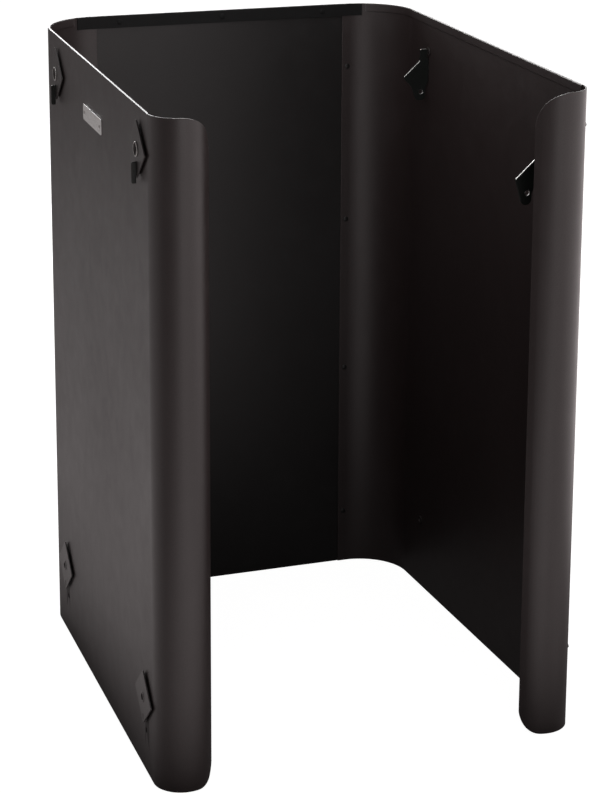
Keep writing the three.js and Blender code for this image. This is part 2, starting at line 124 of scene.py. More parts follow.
def plate_frame(tag, key):
    """Place of a plate: X outward from the wall, Y along it, Z up; the origin lies
    on the wall's outer face behind the plate's centre."""
    normal = Vector(JOINTS[f"plate_{tag}_lower_front"]["axis"]).normalized()
    up = Vector((0, 0, 1))
    matrix = Matrix((normal, up.cross(normal), up)).transposed().to_4x4()
    centre = box_centre(f"spacer_plate_{tag}_{key}")
    matrix.translation = centre - normal * ((STAND_OFF + PLATE_T / 2) * MM)
    return matrix


# ---------------------------------------------------------------- mesh helpers
def new_object(name, bm):
    mesh = bpy.data.meshes.new(name)
    bm.to_mesh(mesh)
    bm.free()
    ob = bpy.data.objects.new(name, mesh)
    bpy.context.scene.collection.objects.link(ob)
    return ob


def clean_body(bm, weld):
    """Welds doubles and turns every face outward."""
    bmesh.ops.remove_doubles(bm, verts=bm.verts, dist=weld)
    bmesh.ops.recalc_face_normals(bm, faces=bm.faces)
    if bm.calc_volume(signed=True) < 0:
        bmesh.ops.reverse_faces(bm, faces=bm.faces)


def smooth(ob, degrees=34, weighted=True):
    mesh = ob.data
    mesh.polygons.foreach_set("use_smooth", [True] * len(mesh.polygons))
    mesh.set_sharp_from_angle(angle=math.radians(degrees))
    if weighted:
        modifier = ob.modifiers.new("weighted", "WEIGHTED_NORMAL")
        modifier.keep_sharp = True
        modifier.weight = 60
        modifier.mode = "FACE_AREA"


def evaluated_mesh(ob):
    depsgraph = bpy.context.evaluated_depsgraph_get()
    depsgraph.update()
    return bpy.data.meshes.new_from_object(ob.evaluated_get(depsgraph), depsgraph=depsgraph)


def subtract(ob, cutter_bm):
    """Cuts the closed bodies of cutter_bm out of ob."""
    bmesh.ops.recalc_face_normals(cutter_bm, faces=cutter_bm.faces)
    cutter = new_object(ob.name + "_cut", cutter_bm)
    boolean = ob.modifiers.new("cut", "BOOLEAN")
    boolean.operation = "DIFFERENCE"
    boolean.solver = "EXACT"
    boolean.object = cutter
    mesh = evaluated_mesh(ob)
    uncut = ob.data
    ob.modifiers.clear()
    ob.data = mesh
    mesh.name = ob.name
    bpy.data.meshes.remove(uncut)
    cutter_mesh = cutter.data
    bpy.data.objects.remove(cutter)
    bpy.data.meshes.remove(cutter_mesh)


def add_prism(bm, near_loop, far_loop):
    """Closed body between two matching loops of points, in metres."""
    near = [bm.verts.new(point) for point in near_loop]
    far = [bm.verts.new(point) for point in far_loop]
    bm.faces.new(near)
    bm.faces.new(list(reversed(far)))
    for k in range(len(near)):
        after = (k + 1) % len(near)
        bm.faces.new((near[after], near[k], far[k], far[after]))


def turned_piece(name, profile, segments, matrix):
    """Body turned about the matrix's X axis. The profile is [(radius, x)]; it starts
    and ends on the axis, or closes on itself."""
    bm = bmesh.new()
    rings = []
    for radius, x in profile:
        if radius == 0:
            rings.append([bm.verts.new((x * MM, 0, 0))])
            continue
        ring = []
        for k in range(segments):
            angle = 2 * math.pi * k / segments
            y, z = radius * MM * math.cos(angle), radius * MM * math.sin(angle)
            ring.append(bm.verts.new((x * MM, y, z)))
        rings.append(ring)
    pairs = list(zip(rings, rings[1:]))
    if profile[0][0] != 0:
        pairs.append((rings[-1], rings[0]))
    for first, second in pairs:
        for k in range(segments):
            after = (k + 1) % segments
            if len(first) == 1:
                bm.faces.new((first[0], second[k], second[after]))
            elif len(second) == 1:
                bm.faces.new((first[k], second[0], first[after]))
            else:
                bm.faces.new((first[k], second[k], second[after], first[after]))
    bmesh.ops.transform(bm, matrix=matrix, verts=bm.verts)
    clean_body(bm, weld=2e-7)
    ob = new_object(name, bm)
    smooth(ob, 40, weighted=False)
    return ob


def fillet(corners, steps):
    """Rounds a closed polygon whose corners are (a, b, radius)."""
    outline = []
    for i, corner in enumerate(corners):
        point = Vector(corner[:2])
        to_last = Vector(corners[i - 1][:2]) - point
        to_next = Vector(corners[(i + 1) % len(corners)][:2]) - point
        last_length, next_length = to_last.length, to_next.length
        to_last.normalize()
        to_next.normalize()
        angle = math.acos(max(-1, min(1, to_last.dot(to_next))))
        if abs(math.pi - angle) < 0.03:  # straight through: nothing to round
            outline.append((point.x, point.y))
            continue
        tangent = min(corner[2] / math.tan(angle / 2), 0.49 * last_length, 0.49 * next_length)
        radius = tangent * math.tan(angle / 2)
        centre = point + (to_last + to_next).normalized() * (radius / math.sin(angle / 2))
        start = point + to_last * tangent - centre
        end = point + to_next * tangent - centre
        sweep = math.atan2(start.x * end.y - start.y * end.x, start.dot(end))
        for k in range(steps + 1):
            turn = sweep * k / steps
            cos, sin = math.cos(turn), math.sin(turn)
            spoke = Vector((start.x * cos - start.y * sin, start.x * sin + start.y * cos))
            outline.append(tuple(spoke + centre))
    return outline


def circle(radius, count, centre_a=0.0, centre_b=0.0):
    angles = [2 * math.pi * k / count for k in range(count)]
    return [(centre_a + radius * math.cos(a), centre_b + radius * math.sin(a)) for a in angles]


def slot_outline(width, top, bottom, steps=8):
    """Upright slot with round ends."""
    radius = width / 2 - 0.02
    points = []
    for centre_b, start in ((top - radius, 0.0), (bottom + radius, math.pi)):
        for k in range(steps + 1):
            angle = start + math.pi * k / steps
            points.append((radius * math.cos(angle), centre_b + radius * math.sin(angle)))
    return points


def sheet_piece(name, outline, holes, thickness, edge, matrix):
    """Flat piece with rounded edges, from loops in (a, b), centred on c = 0; the
    matrix takes (a, b, c) to its place."""
    curve = bpy.data.curves.new(name, "CURVE")
    curve.dimensions = "2D"
    curve.fill_mode = "BOTH"
    curve.extrude = (thickness / 2 - edge) * MM
    curve.bevel_depth = edge * MM
    curve.bevel_resolution = 2
    curve.offset = -edge * MM
    for loop in [outline, *holes]:
        spline = curve.splines.new("POLY")
        spline.points.add(len(loop) - 1)
        for point, (a, b) in zip(spline.points, loop):
            point.co = (a * MM, b * MM, 0, 1)
        spline.use_cyclic_u = True
    blank = bpy.data.objects.new(name + "_tmp", curve)
    bpy.context.scene.collection.objects.link(blank)
    mesh = evaluated_mesh(blank)
    bpy.data.objects.remove(blank)
    bpy.data.curves.remove(curve)
    mesh.name = name
    bm = bmesh.new()
    bm.from_mesh(mesh)
    clean_body(bm, weld=1e-6)
    bm.to_mesh(mesh)
    bm.free()
    ob = bpy.data.objects.new(name, mesh)
    bpy.context.scene.collection.objects.link(ob)
    mesh.transform(matrix)
    return ob


# ---------------------------------------------------------------- node helpers
class Nodes:
    """Builds the node tree of a material or world. Each method returns an output."""

    def __init__(self, owner):
        owner.use_nodes = True
        self.tree = owner.node_tree
        self.tree.nodes.clear()

    def add_node(self, kind, inputs=None, **settings):
        """New node; inputs maps a socket's name or index to a value or an output."""
        node = self.tree.nodes.new("ShaderNode" + kind)
        for key, value in settings.items():
            setattr(node, key, value)
        for key, value in (inputs or {}).items():
            socket = node.inputs[key]
            if isinstance(value, bpy.types.NodeSocket):
                self.tree.links.new(value, socket)
            elif socket.type == "RGBA":
                socket.default_value = (*value, 1)
            else:
                socket.default_value = value
        return node

    def output(self, kind, inputs=None, socket=0, **settings):
        return self.add_node(kind, inputs, **settings).outputs[socket]

    def coords(self, scale=(1, 1, 1)):
        vector = self.output("TexCoord", socket="Object")
        return self.output("Mapping", {"Vector": vector, "Scale": scale})

    def noise(self, vector, scale, detail=2.0, roughness=0.5, distortion=0.0):
        inputs = {"Vector": vector, "Scale": scale, "Detail": detail,
                  "Roughness": roughness, "Distortion": distortion}
        return self.output("TexNoise", inputs, socket="Fac")

    def remap(self, value, span, to=(0.0, 1.0), clamp=True):
        inputs = {"Value": value, "From Min": span[0], "From Max": span[1],
                  "To Min": to[0], "To Max": to[1]}
        return self.output("MapRange", inputs, clamp=clamp)

    def mix(self, factor, first, second, blend="MIX"):
        inputs = {"Factor": factor, 6: first, 7: second}  # 6 and 7 are the colours A and B
        return self.output("Mix", inputs, socket=2, data_type="RGBA", blend_type=blend)

    def math(self, operation, first, second):
        return self.output("Math", {0: first, 1: second}, operation=operation)

    def add(self, first, second):
        return self.math("ADD", first, second)

    def multiply(self, first, second):
        return self.math("MULTIPLY", first, second)

    def bump(self, height, strength, distance, normal=None):
        inputs = {"Height": height, "Strength": strength, "Distance": distance}
        if normal is not None:
            inputs["Normal"] = normal
        return self.output("Bump", inputs)

    def edge_mask(self, radius):
        """0 on faces, towards 1 where the surface turns over an edge; radius in metres."""
        rounded = self.output("Bevel", {"Radius": radius}, samples=6)
        normal = self.output("NewGeometry", socket="Normal")
        dot = self.output("VectorMath", {0: rounded, 1: normal}, socket="Value",
                          operation="DOT_PRODUCT")
        return self.remap(self.math("SUBTRACT", 1.0, dot), span=(0.02, 0.25))

    def ramp(self, value, stations):
        """Piecewise linear function of value through (position, level) stations."""
        total = None
        for (start, low), (end, high) in zip(stations, stations[1:]):
            part = self.remap(value, span=(start, end), to=(0.0, high - low))
            total = part if total is None else self.add(total, part)
        return self.add(total, stations[0][1])

    def principled(self, inputs):
        shader = self.output("BsdfPrincipled", inputs, socket="BSDF")
        self.add_node("OutputMaterial", {"Surface": shader})


# ---------------------------------------------------------------- materials
def powder_coat(name, base, speck, roughness, edge, edge_amount, cloud,
                edge_radius=0.0008, specular=0.5):
    """Fine-textured powder coat with faint cloudy tone, and a lighter colour along its edges
    that is partly rubbing and partly a painted highlight.
    """
    material = bpy.data.materials.new(name)
    nodes = Nodes(material)
    coords = nodes.coords()
    clouds = nodes.noise(coords, scale=4.0, detail=3.0, roughness=0.55, distortion=0.3)
    fine = nodes.noise(coords, scale=900.0, detail=2.0, roughness=0.6)
    pores = nodes.noise(coords, scale=2600.0, detail=1.0, roughness=0.5)
    dust = nodes.noise(coords, scale=38.0, detail=6.0, roughness=0.62, distortion=0.4)

    tone = nodes.remap(clouds, span=(0.3, 0.7), to=(1.0 - cloud, 1.0 + cloud), clamp=False)
    darker = tuple(c * 0.84 for c in base)
    lighter = tuple(min(1, c * 1.5 + 0.01) for c in base)
    colour = nodes.mix(nodes.remap(fine, span=(0.35, 0.68)), darker, speck)
    colour = nodes.mix(nodes.remap(dust, span=(0.52, 0.8), to=(0.0, 0.18)), colour, lighter)
    tone_colour = nodes.output("CombineColor", {0: tone, 1: tone, 2: tone})
    colour = nodes.mix(1.0, colour, tone_colour, blend="MULTIPLY")

    # painted highlight along the edges: a lighter colour where the surface turns over an edge,
    # in patches like rubbing
    mask = nodes.edge_mask(edge_radius)
    patches = nodes.noise(coords, scale=160.0, detail=4.0, roughness=0.6)
    wear_and_highlight = nodes.multiply(mask, nodes.remap(patches, span=(0.35, 0.65), to=(0.25, 1.0)))
    colour = nodes.mix(nodes.multiply(wear_and_highlight, edge_amount), colour, edge)

    mottle = nodes.add(nodes.multiply(clouds, 0.5), nodes.multiply(dust, 0.5))
    rough = nodes.remap(mottle, span=(0.3, 0.7), to=(roughness - 0.05, roughness + 0.06))

    grain = nodes.add(nodes.multiply(fine, 0.7), nodes.multiply(pores, 0.3))
    normal = nodes.bump(grain, strength=0.35, distance=0.00022)
    peel = nodes.noise(coords, scale=110.0, detail=2.0, roughness=0.5)
    normal = nodes.bump(peel, strength=0.12, distance=0.0006, normal=normal)
    waves = nodes.noise(coords, scale=5.5, detail=1.0, roughness=0.4)
    normal = nodes.bump(waves, strength=0.05, distance=0.012, normal=normal)
    nodes.principled({"Base Color": colour, "Roughness": rough,
                      "Specular IOR Level": specular, "Normal": normal})
    return material


def plated_steel(name, base, roughness):
    """Plated steel with fine marks, dull patches and a painted highlight along its edges."""
    material = bpy.data.materials.new(name)
    nodes = Nodes(material)
    coords = nodes.coords()
    streaked = nodes.coords(scale=(1, 1, 60))
    dulling = nodes.noise(coords, scale=420.0, detail=4.0, roughness=0.6)
    marks = nodes.noise(streaked, scale=160.0, detail=3.0, roughness=0.55)
    darker = tuple(c * 0.55 for c in base)
    edge_highlight_colour = tuple(min(1, c * 1.9 + 0.05) for c in base)
    colour = nodes.mix(nodes.remap(dulling, span=(0.35, 0.7)), base, darker)
    # painted highlight: a brighter colour mixed in along the edges
    colour = nodes.mix(nodes.multiply(nodes.edge_mask(radius=0.0005), 0.6), colour, edge_highlight_colour)
    rough = nodes.remap(dulling, span=(0.3, 0.7), to=(roughness - 0.08, roughness + 0.14))
    nodes.principled({"Base Color": colour, "Metallic": 0.85, "Roughness": rough,
                      "Normal": nodes.bump(marks, strength=0.25, distance=0.0002)})
    return material


def brushed_metal(name, base, roughness):
    """Brushed metal with marks drawn out along Y."""
    material = bpy.data.materials.new(name)
    nodes = Nodes(material)
    streaked = nodes.coords(scale=(1, 0.03, 1))
    marks = nodes.noise(streaked, scale=1500.0, detail=3.0, roughness=0.6)
    patches = nodes.noise(nodes.coords(), scale=60.0, detail=3.0, roughness=0.6)
    darker = tuple(c * 0.78 for c in base)
    dull = tuple(c * 0.6 for c in base)
    colour = nodes.mix(nodes.remap(marks, span=(0.3, 0.7)), base, darker)
    colour = nodes.mix(nodes.remap(patches, span=(0.5, 0.8), to=(0.0, 0.25)), colour, dull)
    rough = nodes.remap(marks, span=(0.3, 0.7), to=(roughness - 0.06, roughness + 0.12))
    nodes.principled({"Base Color": colour, "Metallic": 0.9, "Roughness": rough,
                      "Normal": nodes.bump(marks, strength=0.2, distance=0.0001)})
    return material


# Keyed by slot name; "hook_edge" and "dark" are second materials without a slot.
MATERIALS = {
    "shell_paint": powder_coat(
        "shell_powder_coat", base=(0.0135, 0.0086, 0.0084), speck=(0.0205, 0.0139, 0.0137),
        roughness=0.43, edge=(0.38, 0.365, 0.36), edge_amount=0.7, cloud=0.05),
    # panel_paint: darker and with weaker specular than the shell's coat, a painted shade for the
    # dark inside of the shield
    "panel_paint": powder_coat(
        "panel_coat_painted_shade", base=(0.0065, 0.0059, 0.0058), speck=(0.0105, 0.0097, 0.0097),
        roughness=0.36, specular=0.32, edge=(0.22, 0.22, 0.22), edge_amount=0.4, cloud=0.05),
    "strip_black": powder_coat(
        "strip_matt_black", base=(0.003, 0.003, 0.0032), speck=(0.005, 0.005, 0.005),
        roughness=0.75, specular=0.2, edge=(0.02, 0.02, 0.02), edge_amount=0.3, cloud=0.1),
    "plate_paint": powder_coat(
        "plate_powder_coat", base=(0.014, 0.0105, 0.0102), speck=(0.022, 0.0172, 0.0168),
        roughness=0.42, edge=(0.36, 0.35, 0.34), edge_amount=0.6, edge_radius=0.0006,
        cloud=0.08),
    "plate_light": powder_coat(
        "plate_worn_coat", base=(0.050, 0.0455, 0.045), speck=(0.074, 0.068, 0.067),
        roughness=0.40, edge=(0.42, 0.41, 0.40), edge_amount=0.8, edge_radius=0.0006,
        cloud=0.12),
    "hook_black": powder_coat(
        "hook_black_coat", base=(0.0035, 0.0048, 0.0042), speck=(0.007, 0.009, 0.008),
        roughness=0.40, specular=0.3, edge=(0.10, 0.10, 0.10), edge_amount=0.5,
        edge_radius=0.0005, cloud=0.1),
    # hook_edge: bright steel as a painted highlight on the hooks' upper edges and eyes
    "hook_edge": plated_steel("hook_edge_painted_highlight", base=(0.78, 0.78, 0.77), roughness=0.45),
    # dark: a painted shade for the rivets' bores, faces and inner ends and for the walls of the
    # left wall's round holes
    "dark": powder_coat(
        "painted_shade_dark", base=(0.010, 0.0075, 0.007), speck=(0.016, 0.012, 0.0115),
        roughness=0.6, specular=0.25, edge=(0.03, 0.028, 0.027), edge_amount=0.3,
        edge_radius=0.0004, cloud=0.1),
    "zinc": plated_steel("plated_steel", base=(0.42, 0.41, 0.40), roughness=0.38),
    "badge_metal": brushed_metal("brushed_badge", base=(0.93, 0.93, 0.92), roughness=0.3),
}


def finish_piece(ob, node, slot, body="frame"):
    ob.data.materials.clear()
    ob.data.materials.append(MATERIALS[slot])
    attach(ob, body)
    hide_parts(node)


def paint_faces(ob, place, chosen):
    """Gives the second material to faces where chosen(centre, normal) holds, both
    in the frame of place."""
    inverse = place.inverted()
    rotation = inverse.to_3x3()
    for face in ob.data.polygons:
        if chosen(inverse @ face.center / MM, rotation @ face.normal):
            face.material_index = 1


# ---------------------------------------------------------------- side shells
# A point on the middle of the sheet in plan, with its normal and the running length
# from the rear return's free edge.
Column = namedtuple("Column", "x y normal_x normal_y run zone")

# Heights of the plain rows of the wall, as parts of HEIGHT
ROWS = [0.04, 0.11, 0.2, 0.3, 0.4, 0.5, 0.6, 0.7, 0.8, 0.88, 0.94, 0.975]
CORNER_STEPS, WALL_STEPS, LIP_STEPS, FLAT_STEPS = 42, 26, 54, 3
END_BAND = 2  # rows this near the top or bottom keep their distance from it


def shell_columns():
    """Right-hand sheet from the free edge of the rear return to that of the lip."""
    columns = []

    def push(x, y, normal_x, normal_y, zone):
        run = 0.0
        if columns:
            last = columns[-1]
            run = last.run + math.hypot(x - last.x, y - last.y)
        columns.append(Column(x, y, normal_x, normal_y, run, zone))

    push(RETURN_END, MID_REAR_Y, 0, 1, "return")
    for i in range(CORNER_STEPS + 1):
        angle = math.pi / 2 - REAR_TURN * i / CORNER_STEPS
        cos, sin = math.cos(angle), math.sin(angle)
        push(CORNER_X + REAR_R * cos, CORNER_Y + REAR_R * sin, cos, sin, "corner")

    rear = columns[-1]
    outward_x, outward_y = math.cos(SLOPE), math.sin(SLOPE)
    lip_y = LIP_R + HALF_SHEET
    front_y = lip_y + outward_y * LIP_R
    front_x = wall_mid_x(front_y)
    lip_x = front_x - outward_x * LIP_R
    for i in range(1, WALL_STEPS):
        part = i / WALL_STEPS
        push(rear.x + (front_x - rear.x) * part, rear.y + (front_y - rear.y) * part,
             outward_x, outward_y, "wall")

    for i in range(LIP_STEPS + 1):
        angle = math.radians(LIP_SWEEP) * i / LIP_STEPS
        normal_x = outward_x * math.cos(angle) + outward_y * math.sin(angle)
        normal_y = outward_y * math.cos(angle) - outward_x * math.sin(angle)
        push(lip_x + LIP_R * normal_x, lip_y + LIP_R * normal_y, normal_x, normal_y, "lip")

    last = columns[-1]
    for i in range(1, FLAT_STEPS + 1):
        along = LIP_FLAT * i / FLAT_STEPS
        push(last.x + last.normal_y * along, last.y - last.normal_x * along,
             last.normal_x, last.normal_y, "flat")
    return columns


def column_at(columns, run):
    """Column interpolated at a running length."""
    after = next(k for k in range(1, len(columns)) if columns[k].run >= run - 1e-9)
    a, b = columns[after - 1], columns[after]
    part = (run - a.run) / (b.run - a.run)
    x, y, normal_x, normal_y = (p + (q - p) * part for p, q in zip(a[:4], b[:4]))
    size = math.hypot(normal_x, normal_y)
    return Column(x, y, normal_x / size, normal_y / size, run, b.zone)


def shell_stations(columns, hem_to):
    """The columns, with closer ones at the free edges, the lip's rounded corners and
    the hem's front end; columns that nearly coincide are dropped."""
    total = columns[-1].run
    extra = [column_at(columns, hem_to)]
    for i in range(15):
        for radius in (LIP_CORNER, LIP_CORNER_LOW):
            run = total - radius + radius * math.sin(math.pi / 2 * i / 15.3)
            extra.append(column_at(columns, run))
    for inset in (0.9, 0.45, 0.2, 0.06):
        extra.append(column_at(columns, inset))
        extra.append(column_at(columns, total - inset))
    ordered = sorted(columns + extra, key=lambda column: column.run)
    stations = [ordered[0]]
    for column in ordered[1:]:
        run = column.run
        fine = run < 1.2 or run > total - 1.2 or abs(run - hem_to) < 1
        if run - stations[-1].run > (0.03 if fine else 0.35):
            stations.append(column)
    return stations


def arc(centre_n, centre_z, radius, start, end, steps):
    """Arc points; angles in degrees."""
    angles = [math.radians(start + (end - start) * k / steps) for k in range(steps + 1)]
    return [(centre_n + radius * math.cos(a), centre_z + radius * math.sin(a)) for a in angles]


def shell_sections():
    """Cross-section runs in (n, z), n outward from the sheet's middle: the outer side
    over the top edge, a plain top, a hemmed top, and the inner side and bottom."""
    half, edge = HALF_SHEET, SHEET_EDGE
    outer = [(half, edge + 0.05)] + [(half, row * HEIGHT) for row in ROWS]
    outer += arc(half - edge, HEIGHT - edge, edge, 0, 90, 4)
    outer += [(-half + edge, HEIGHT)]
    plain = arc(-half + edge, HEIGHT - edge, edge, 90, 180, 4)[1:]

    fold_r, foot_r, tip_r, gap = 1.25, 0.55, 0.3, 0.13
    crease_z = HEIGHT - 4.5
    hem_n, hem_z = -half - HEM_T, HEIGHT - HEM  # inner face and lower edge of the hem
    hem = arc(hem_n + fold_r, HEIGHT - fold_r, fold_r, 90, 180, 6)
    hem += [(hem_n, hem_z + 2.5)]
    hem += arc(hem_n + foot_r, hem_z + foot_r, foot_r, 180, 270, 4)
    hem += arc(-half - gap - tip_r, hem_z + tip_r, tip_r, 270, 360, 3)
    hem += [(-half - gap, crease_z)]

    inner = [(-half, crease_z), (-half, hem_z - 0.2)]
    inner += [(-half, row * HEIGHT) for row in reversed(ROWS)]
    inner += arc(-half + edge, edge, edge, 180, 270, 4)
    inner += arc(half - edge, edge, edge, 270, 360, 4)[:-1]
    return outer, plain, hem, inner


def waviness(run, z):
    """Slight flatness error in the middle of the wall."""
    across = math.sin(math.pi * max(0.0, min(1.0, (run - 110) / 330)))
    upward = math.sin(math.pi * max(0.0, min(1.0, (z - 130) / 500)))
    return -0.35 * across * upward * (0.75 + 0.25 * math.sin(run * 0.021 + z * 0.013))


def corner_cut(run, total, radius):
    """How far a rounded corner of the lip eats into the sheet's height."""
    past = run - (total - radius)
    if past <= 0:
        return 0.0
    return min(radius - math.sqrt(max(radius * radius - past * past, 0.0)), radius - 0.02)


def station_vertices(bm, side, column, total, points):
    """Vertices of cross-section points at one column."""
    low = corner_cut(column.run, total, LIP_CORNER_LOW)
    high = corner_cut(column.run, total, LIP_CORNER)
    # inset that rounds the vertical free edges
    from_end = min(column.run, total - column.run)
    inset = 0.0
    if from_end < SHEET_EDGE:
        squeeze = math.sqrt(max(0.0, 1 - ((SHEET_EDGE - from_end) / SHEET_EDGE) ** 2))
        inset = SHEET_EDGE * (1 - squeeze)
    vertices = []
    for n, z in points:
        if z < END_BAND:
            level = max(low + z, low + inset) if inset else low + z
        elif z > HEIGHT - END_BAND:
            level = min(z - high, HEIGHT - high - inset) if inset else z - high
        else:
            level = low + (HEIGHT - low - high) * (z / HEIGHT)
        n = n * (1 - inset / HALF_SHEET) + waviness(column.run, level)
        x = (column.x + column.normal_x * n) * side
        y = column.y + column.normal_y * n - OFFSET_Y
        vertices.append(bm.verts.new((x * MM, y * MM, level * MM)))
    return vertices


def shell_body(name, side):
    columns = shell_columns()
    total = columns[-1].run
    hem_from = [c for c in columns if c.zone == "corner"][9].run
    hem_to = [c for c in columns if c.zone == "lip"][0].run - 0.6
    outer_points, plain_points, hem_points, inner_points = shell_sections()
    bm = bmesh.new()
    last = None
    last_hemmed = False
    for column in shell_stations(columns, hem_to):
        def vertices(points):
            return station_vertices(bm, side, column, total, points)

        run = column.run
        in_hem = hem_from - 1e-6 <= run <= hem_to + 1e-6
        at_hem_end = abs(run - hem_from) < 1e-6 or abs(run - hem_to) < 1e-6
        outer = vertices(outer_points)
        inner = vertices(inner_points)
        plain = vertices(plain_points) if not in_hem or at_hem_end else None
        hem = vertices(hem_points) if in_hem else None
        if last is None:
            bm.faces.new(outer + plain + inner)
        else:
            last_outer, last_plain, last_hem, last_inner = last
            hemmed = bool(last_hem and hem)
            first = last_outer + (last_hem if hemmed else last_plain) + last_inner
            second = outer + (hem if hemmed else plain) + inner
            for k in range(len(first)):
                after = (k + 1) % len(first)
                bm.faces.new((first[k], first[after], second[after], second[k]))
            if hemmed != last_hemmed:  # end face of the hem
                bm.faces.new([last_outer[-1], *last_hem, last_inner[0], *reversed(last_plain)])
            last_hemmed = hemmed
        last = (outer, plain, hem, inner)
    bm.faces.new(outer + plain + inner)
    clean_body(bm, weld=2e-7)
    return new_object(name, bm)


def shell_cutter(tag):
    """Bodies of the shell's holes: plate rivets, hook slots, the left wall's round
    holes, seam rivets and badge pins."""
    cutter = bmesh.new()

    def cut(outline, matrix):
        near, far = ([matrix @ Vector((x * MM, a * MM, b * MM)) for a, b in outline]
                     for x in (-6.0, 6.0))
        add_prism(cutter, near, far)

    for key in PLATE_KEYS:
        place = plate_frame(tag, key)
        cut(circle(RIVET_HOLE_R, 32), place)
        if key.startswith("upper"):
            cut(slot_outline(**UPPER_SLOT), place)
        elif tag == "left":
            cut(circle(WALL_HOLE_R, 32, 0, WALL_HOLE_UP), place)
    for k in range(4):
        centre = box_centre(f"seam_rivet_{tag}_{k + 1}")
        place = Matrix.Rotation(math.pi / 2, 4, "Z")
        place.translation = Vector((centre.x, (MID_REAR_Y - OFFSET_Y) * MM, centre.z))
        cut(circle(PANEL_HOLE_R, 24), place)
    if tag == "left":
        for k in (1, 2):
            place = plate_frame(tag, "upper_front")
            place.translation = box_centre(f"badge_pin_{k}")
            cut(circle(PIN_HOLE_R, 20), place)
    return cutter


def in_wall_hole(centre, normal):
    radius = math.hypot(centre.y, centre.z - WALL_HOLE_UP)
    return abs(centre.x) < 1.7 and radius < WALL_HOLE_R + 0.05


for side, tag in ((1, "right"), (-1, "left")):
    shell = shell_body("shell_" + tag, side)
    subtract(shell, shell_cutter(tag))
    smooth(shell)
    finish_piece(shell, tag + "_side_shell", "shell_paint")
    if tag == "left":  # painted shade on the walls of the two round holes
        shell.data.materials.append(MATERIALS["dark"])
        for key in ("lower_rear", "lower_front"):
            paint_faces(shell, plate_frame(tag, key), in_wall_hole)


# ---------------------------------------------------------------- rear panel
STRIP_T = 1.1
STRIP_OUTER_R = REAR_R - HALF_SHEET - 0.35  # the strip's ends follow the rear corners
BEND_STEPS = 12


def hole_centres(nodes):
    """(x, z) of the rivets' holes."""
    centres = [box_centre(node) for node in nodes]
    return [(centre.x / MM, centre.z / MM) for centre in centres]


def rear_panel(holes):
    low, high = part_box("rear_panel")
    x0, y0, z0 = (value / MM for value in low)
    x1, y1, z1 = (value / MM for value in high)
    outline = fillet([(x0, z0, 0.6), (x1, z0, 0.6), (x1, z1, 0.6), (x0, z1, 0.6)], steps=3)
    loops = [circle(PANEL_HOLE_R, 24, x, z) for x, z in holes]
    upright = Matrix(((1, 0, 0, 0), (0, 0, -1, (y0 + y1) / 2 * MM), (0, 1, 0, 0), (0, 0, 0, 1)))
    panel = sheet_piece("panel_rear", outline, loops, y1 - y0, 0.35, upright)
    smooth(panel)
    finish_piece(panel, "rear_panel", "panel_paint")


def rear_top_strip(holes):
    low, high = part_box("rear_top_strip")
    end_angle = math.asin((high.x / MM - CORNER_X) / STRIP_OUTER_R)
    bends = [end_angle * k / BEND_STEPS for k in range(BEND_STEPS + 1)]

    def bend(radius, angles, side):
        return [(side * (CORNER_X + radius * math.sin(angle)),
                 CORNER_Y - OFFSET_Y + radius * math.cos(angle)) for angle in angles]

    inner_r = STRIP_OUTER_R - STRIP_T
    plan = bend(inner_r, bends[::-1], -1) + bend(inner_r, bends, 1)
    plan += bend(STRIP_OUTER_R, bends[::-1], 1) + bend(STRIP_OUTER_R, bends, -1)
    place = Matrix.Translation((0, 0, (low.z + high.z) / 2))
    strip = sheet_piece("strip_rear_top", plan, [], (high.z - low.z) / MM, 0.25, place)
    cutter = bmesh.new()
    for x, z in holes:
        front, rear = ([(a * MM, y, b * MM) for a, b in circle(PANEL_HOLE_R, 24, x, z)]
                       for y in (low.y - 0.01, high.y + 0.01))
        add_prism(cutter, front, rear)
    subtract(strip, cutter)
    smooth(strip)
    finish_piece(strip, "rear_top_strip", "strip_black")


def panel_rivet(name, node, slot):
    """Domed head in front of the sheets, rolled end behind them."""
    low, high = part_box(node)
    centre = (low + high) / 2
    front = low.y / MM
    seat = front + 1.2
    back = high.y / MM - 1.2
    profile = [(0, front)]
    for k in range(1, 9):
        angle = math.pi / 2 * k / 8
        profile.append((3.4 * math.sin(angle), front + 1.008 * (1 - math.cos(angle))))
    profile += [(3.38, seat - 0.07), (3.2, seat - 0.05), (1.7, seat - 0.05)]
    profile += [(radius, back + rise) for radius, rise in (
        (1.7, 0.05), (3.05, 0.05), (3.2, 0.2), (3.15, 0.55), (2.8, 0.95), (2.2, 1.15),
        (1.9, 1.2), (1.5, 1.0), (1.35, 0.75), (0, 0.7))]
    place = Matrix.Rotation(math.pi / 2, 4, "Z")
    place.translation = Vector((centre.x, 0, centre.z))
    finish_piece(turned_piece(name, profile, 36, place), node, slot)


seam_keys = [f"{tag}_{k + 1}" for tag in ("left", "right") for k in range(4)]
seam_holes = hole_centres(["seam_rivet_" + key for key in seam_keys])
strip_holes = hole_centres([f"strip_rivet_{k + 1}" for k in range(3)])
rear_panel(seam_holes + strip_holes)
rear_top_strip(strip_holes)
for key in seam_keys:
    panel_rivet("rivet_seam_" + key, "seam_rivet_" + key, "panel_paint")
for k in range(3):
    panel_rivet(f"rivet_strip_{k + 1}", f"strip_rivet_{k + 1}", "strip_black")


# ---------------------------------------------------------------- wall hardware
# (a, b, c) of a flat piece to the plate frame.
# FACE: a along the wall, b up, c outward. FIN: a outward, b up, c along the wall.
FACE = Matrix(((0, 0, 1, 0), (1, 0, 0, 0), (0, 1, 0, 0), (0, 0, 0, 1)))
FIN = Matrix(((1, 0, 0, 0), (0, 0, -1, 0), (0, 1, 0, 0), (0, 0, 0, 1)))
PLATE_FACE = STAND_OFF + PLATE_T  # plate's outer face, from the wall's outer face
WALL_INSIDE = -SHEET
DIAMOND_HALF_W, DIAMOND_HALF_H, DIAMOND_R = 35.0, 31.5, 2.0


